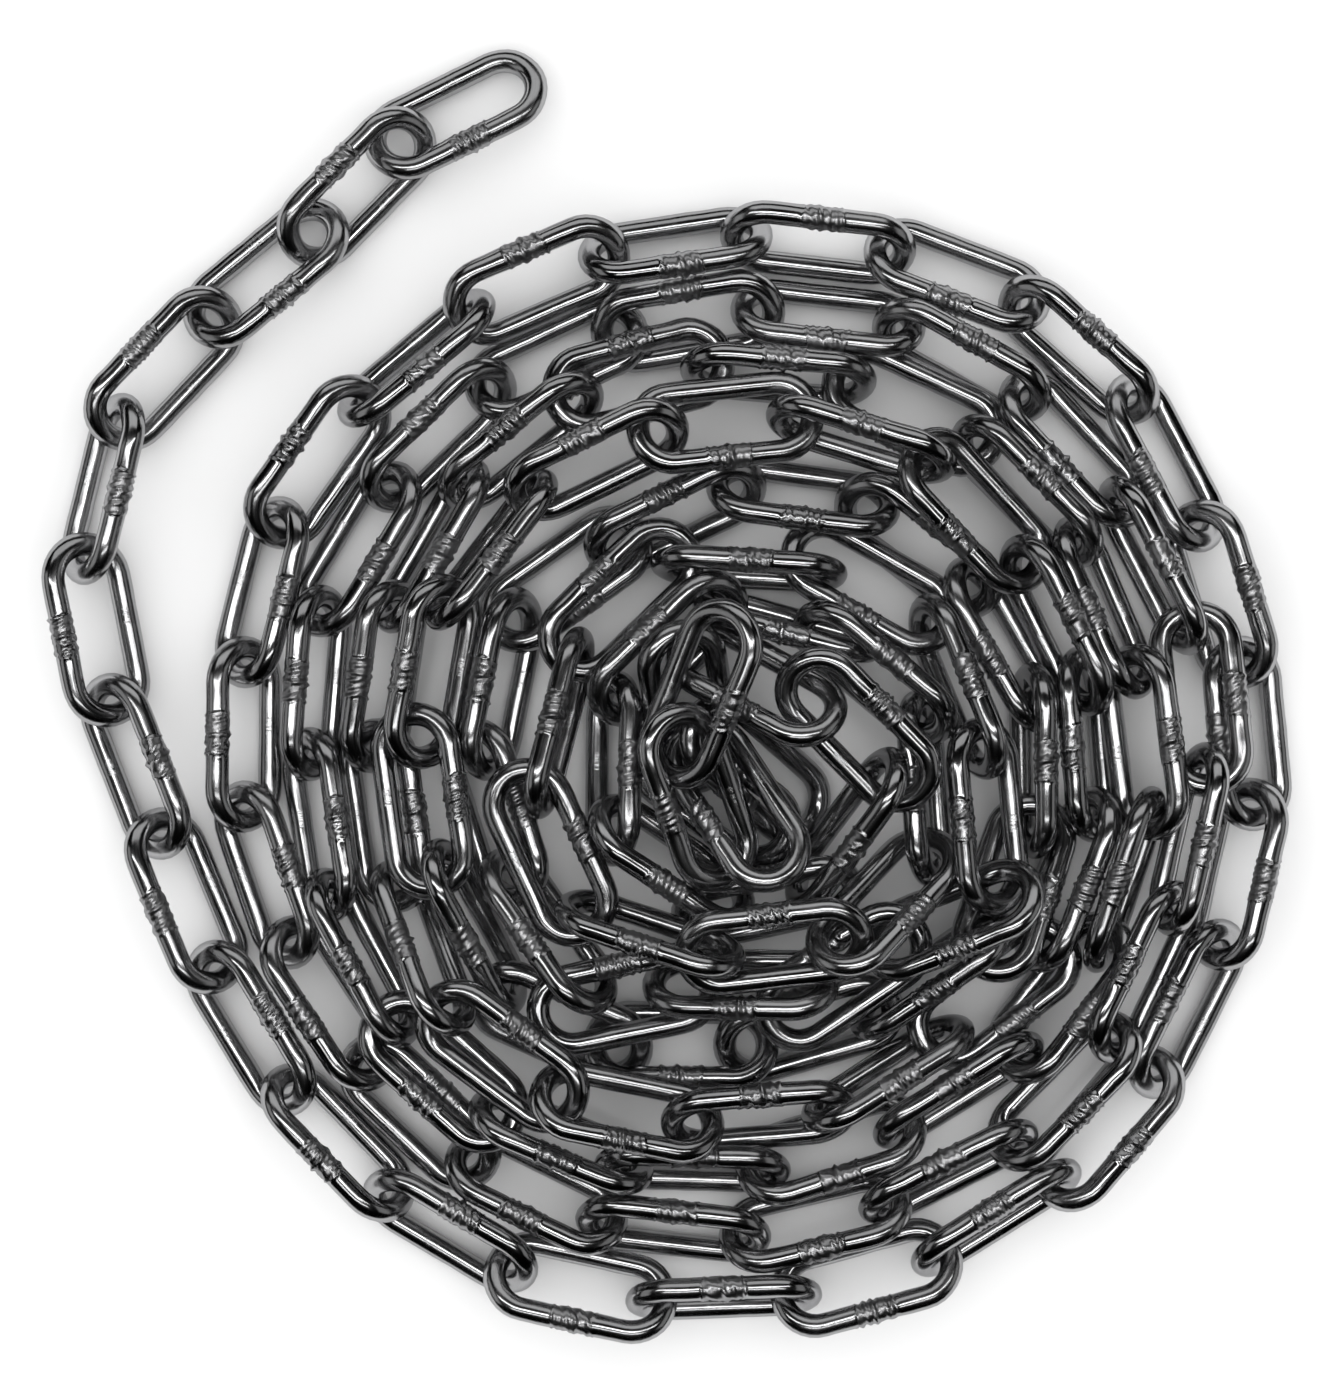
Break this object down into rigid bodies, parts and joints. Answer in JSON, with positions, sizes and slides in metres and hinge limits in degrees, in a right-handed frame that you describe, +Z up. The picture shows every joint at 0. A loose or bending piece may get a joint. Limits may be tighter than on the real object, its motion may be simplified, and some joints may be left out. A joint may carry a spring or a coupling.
{
  "type": "heap of steel chain",
  "caption": "Flat spiral heap of bright welded long-link steel chain, with one straight tail and a jumbled middle.",
  "frame": {"origin": "on the floor, under the middle of the heap's box", "axes": "+Z up out of the heap, +Y towards the free end of the tail, +X to the right of it"},
  "size_m": [0.4308, 0.4456, 0.0579],
  "materials": {
    "bright_steel": "bright drawn wire with a polished sheen and darker weld beads"
  },
  "bodies": {
    "root": {"eighth_turn_links_120_122": "bright_steel", "eighth_turn_links_123_125": "bright_steel", "fifth_turn_links_087_089": "bright_steel", "fifth_turn_links_090_092": "bright_steel", "fifth_turn_links_093_095": "bright_steel", "fifth_turn_links_096_098": "bright_steel", "fourth_turn_links_069_071": "bright_steel", "fourth_turn_links_072_074": "bright_steel", "fourth_turn_links_075_077": "bright_steel", "fourth_turn_links_078_080": "bright_steel", "fourth_turn_links_081_083": "bright_steel", "fourth_turn_links_084_086": "bright_steel", "middle_jumble_links_126_128": "bright_steel", "middle_jumble_links_129_130": "bright_steel", "outer_turn_link_008": "bright_steel", "outer_turn_link_009": "bright_steel", "outer_turn_link_010": "bright_steel", "outer_turn_link_011": "bright_steel", "outer_turn_link_012": "bright_steel", "outer_turn_link_013": "bright_steel", "outer_turn_link_014": "bright_steel", "outer_turn_links_015_017": "bright_steel", "outer_turn_links_018_020": "bright_steel", "outer_turn_links_021_023": "bright_steel", "outer_turn_links_024_026": "bright_steel", "outer_turn_links_027_029": "bright_steel", "outer_turn_links_030_032": "bright_steel", "second_turn_links_033_035": "bright_steel", "second_turn_links_036_038": "bright_steel", "second_turn_links_039_041": "bright_steel", "second_turn_links_042_044": "bright_steel", "second_turn_links_045_047": "bright_steel", "second_turn_links_048_050": "bright_steel", "seventh_turn_links_111_113": "bright_steel", "seventh_turn_links_114_116": "bright_steel", "seventh_turn_links_117_119": "bright_steel", "sixth_turn_links_099_101": "bright_steel", "sixth_turn_links_102_104": "bright_steel", "sixth_turn_links_105_107": "bright_steel", "sixth_turn_links_108_110": "bright_steel", "tail_link_001": "bright_steel", "tail_link_002": "bright_steel", "tail_link_003": "bright_steel", "tail_link_004": "bright_steel", "tail_link_005": "bright_steel", "tail_link_006": "bright_steel", "tail_link_007": "bright_steel", "third_turn_links_051_053": "bright_steel", "third_turn_links_054_056": "bright_steel", "third_turn_links_057_059": "bright_steel", "third_turn_links_060_062": "bright_steel", "third_turn_links_063_065": "bright_steel", "third_turn_links_066_068": "bright_steel"}
  },
  "joints": []
}
